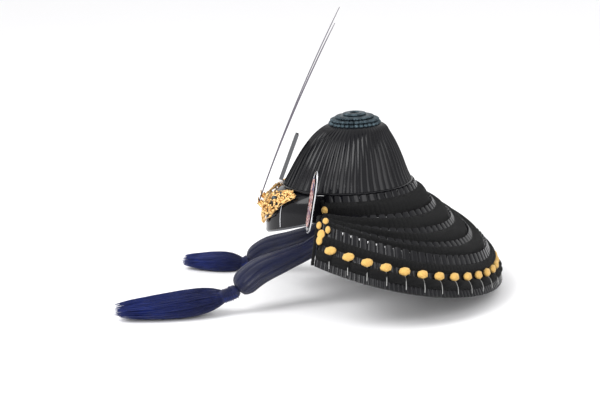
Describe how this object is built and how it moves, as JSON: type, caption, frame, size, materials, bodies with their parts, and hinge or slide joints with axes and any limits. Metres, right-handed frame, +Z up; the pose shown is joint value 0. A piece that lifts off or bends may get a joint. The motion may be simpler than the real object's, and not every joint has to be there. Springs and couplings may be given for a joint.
{
  "type": "samurai_helmet",
  "caption": "Samurai helmet (kabuto): ribbed black lacquer bowl, tiered crown fitting, gilt openwork crest base with tall horns, side flaps, laced spreading neck guard and blue tasselled cord",
  "frame": {"origin": "the middle of the bowl's rim plane, where the head goes in", "axes": "+Z up through the crown, the helmet faces -Y, +X is the wearer's left; the rim lies in the XY plane"},
  "size_m": [0.5, 0.6551, 0.4865],
  "materials": {
    "black_lacquer": "gloss",
    "black_silk": "matte",
    "teal_bronze": "satin",
    "gilt_metal": "satin",
    "silver_metal": "polished",
    "mirror_plate": "polished",
    "yellow_silk": "matte",
    "stencilled_leather": "matte",
    "blue_silk": "satin"
  },
  "bodies": {
    "root": {"bowl": "black_lacquer", "chin_cord_left": "blue_silk", "chin_cord_right": "blue_silk", "crest_bracket": "silver_metal", "crest_socket": "black_lacquer", "cross_knots": "yellow_silk", "crown_collar": "teal_bronze", "crown_flange": "teal_bronze", "crown_petal_ring": "teal_bronze", "crown_rope_ring": "teal_bronze", "edge_braid_left": "yellow_silk", "edge_braid_right": "yellow_silk", "flap_leather_left": "stencilled_leather", "flap_leather_right": "stencilled_leather", "flap_left": "black_lacquer", "flap_right": "black_lacquer", "flap_rim_left": "silver_metal", "flap_rim_right": "silver_metal", "flap_root_left": "black_lacquer", "flap_root_right": "black_lacquer", "gilt_base": "gilt_metal", "horn_left": "mirror_plate", "horn_right": "mirror_plate", "horn_socket_left": "gilt_metal", "horn_socket_right": "gilt_metal", "lacing_1": "black_silk", "lacing_2": "black_silk", "lacing_3": "black_silk", "lacing_4": "black_silk", "lacing_5": "black_silk", "lacing_6": "black_silk", "neck_lame_1": "black_lacquer", "neck_lame_2": "black_lacquer", "neck_lame_3": "black_lacquer", "neck_lame_4": "black_lacquer", "neck_lame_5": "black_lacquer", "rim_band": "black_lacquer", "tassel_left": "blue_silk", "tassel_right": "blue_silk", "visor": "black_lacquer", "visor_rim": "black_lacquer", "visor_rivet_front": "teal_bronze", "visor_rivet_left": "teal_bronze", "visor_rivet_right": "teal_bronze"}
  },
  "joints": []
}
